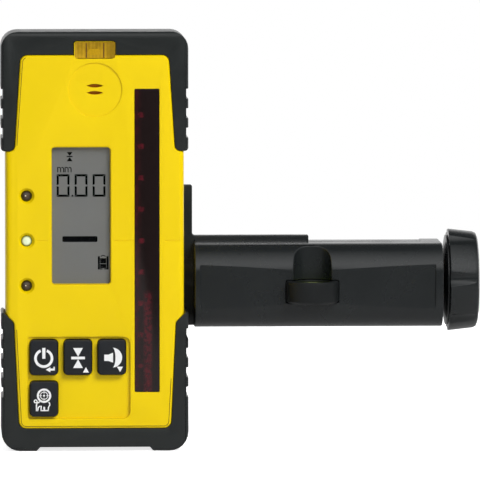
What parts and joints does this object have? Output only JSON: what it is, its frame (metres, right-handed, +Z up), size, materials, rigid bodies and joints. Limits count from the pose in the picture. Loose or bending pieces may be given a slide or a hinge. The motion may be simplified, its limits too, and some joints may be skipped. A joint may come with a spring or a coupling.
{
  "type": "laser receiver",
  "caption": "Hand-held laser receiver with a display, detector window, keys and rubber bumpers, held on a rod clamp with a screw jaw, reading edge and round level.",
  "frame": {"origin": "middle of the fixed jaw pad's face, where the staff bears", "axes": "+X out of the fixed jaw towards the clamp knob, +Y back from the display towards the staff, +Z up"},
  "size_m": [0.1989, 0.069, 0.1726],
  "materials": {
    "yellow_plastic": "satin moulded",
    "black_rubber": "matt moulded",
    "key_rubber": "satin moulded with printed signs",
    "black_plastic": "fine-grained moulded",
    "dark_window": "polished infrared-pass",
    "clear_plastic": "polished",
    "display": "matt display",
    "elastomer": "matt",
    "amber_vial": "polished",
    "green_vial": "polished",
    "board": "solder mask",
    "component": "moulded",
    "brass": "turned",
    "steel": "turned and plated",
    "cell_jacket": "printed jacket",
    "lamp_dark": "cast resin",
    "lamp_green": "cast resin, lit"
  },
  "bodies": {
    "clamp": {"bracket_plate": "black_plastic", "clamp_arm": "black_plastic", "arm_screws": "steel", "guide_pins": "steel", "vial_cup": "black_plastic", "round_vial": "green_vial", "vial_ring": "black_plastic", "screw_bush": "brass", "fixed_jaw_pad": "black_rubber"},
    "receiver": {"front_housing": "yellow_plastic", "rear_housing": "yellow_plastic", "housing_gasket": "black_rubber", "housing_screws": "steel", "top_bumper": "black_rubber", "bottom_bumper": "black_rubber", "detector_window": "dark_window", "lcd_lens": "clear_plastic", "lcd_panel": "display", "lcd_connectors": "elastomer", "level_vial": "amber_vial", "buzzer": "component", "key_mat": "elastomer", "key_switches": "steel", "led_upper": "lamp_dark", "led_centre": "lamp_green", "led_lower": "lamp_dark", "main_board": "board", "photodiodes": "component", "mount_insert": "brass", "battery_cells": "cell_jacket", "battery_contacts": "steel", "door_hinge_pin": "steel"},
    "power_key": {"key_power": "key_rubber"},
    "bandwidth_key": {"key_bandwidth": "key_rubber"},
    "volume_key": {"key_volume": "key_rubber"},
    "memory_key": {"key_memory": "key_rubber"},
    "door": {"battery_door": "yellow_plastic", "door_seal": "black_rubber"},
    "lock": {"door_lock": "black_plastic"},
    "jaw": {"moving_jaw": "black_plastic", "moving_jaw_pad": "black_rubber", "jaw_retainer": "steel"},
    "screw": {"clamp_spindle": "steel", "clamp_knob": "black_plastic", "knob_flange": "black_plastic", "knob_cap": "black_plastic"},
    "captive": {"captive_screw": "steel", "captive_knob": "black_plastic"}
  },
  "joints": [
    {"name": "receiver_off", "type": "slide", "parent": "clamp", "child": "receiver", "axis": [0, -1, 0], "range_m": [0, 0.03]},
    {"name": "power_press", "type": "slide", "parent": "receiver", "child": "power_key", "axis": [0, 1, 0], "range_m": [0, 0.0009], "stiffness_N_per_m": 2000, "springref_m": -0.0002},
    {"name": "bandwidth_press", "type": "slide", "parent": "receiver", "child": "bandwidth_key", "axis": [0, 1, 0], "range_m": [0, 0.0009], "stiffness_N_per_m": 2000, "springref_m": -0.0002},
    {"name": "volume_press", "type": "slide", "parent": "receiver", "child": "volume_key", "axis": [0, 1, 0], "range_m": [0, 0.0009], "stiffness_N_per_m": 2000, "springref_m": -0.0002},
    {"name": "memory_press", "type": "slide", "parent": "receiver", "child": "memory_key", "axis": [0, 1, 0], "range_m": [0, 0.0009], "stiffness_N_per_m": 2000, "springref_m": -0.0002},
    {"name": "door_hinge", "type": "hinge", "parent": "receiver", "child": "door", "pos_m": [-0.054, -0.019, -0.0534], "axis": [-1, 0, 0], "range_deg": [0, 90]},
    {"name": "lock_turn", "type": "hinge", "parent": "door", "child": "lock", "pos_m": [-0.054, -0.017, -0.0224], "axis": [0, -1, 0], "range_deg": [0, 90]},
    {"name": "jaw_slide", "type": "slide", "parent": "clamp", "child": "jaw", "axis": [1, 0, 0], "range_m": [-0.00102, 0.03805]},
    {"name": "screw_turn", "type": "hinge", "parent": "jaw", "child": "screw", "pos_m": [0.096, 0, 0], "axis": [1, 0, 0], "range_deg": [-90, 3420]},
    {"name": "captive_turn", "type": "hinge", "parent": "clamp", "child": "captive", "pos_m": [-0.054, -0.006, 0.0116], "axis": [0, 1, 0], "continuous": true}
  ],
  "couplings": [
    {"joint": "jaw_slide", "follows": "screw_turn", "m_per_rad": 0.00063662}
  ]
}
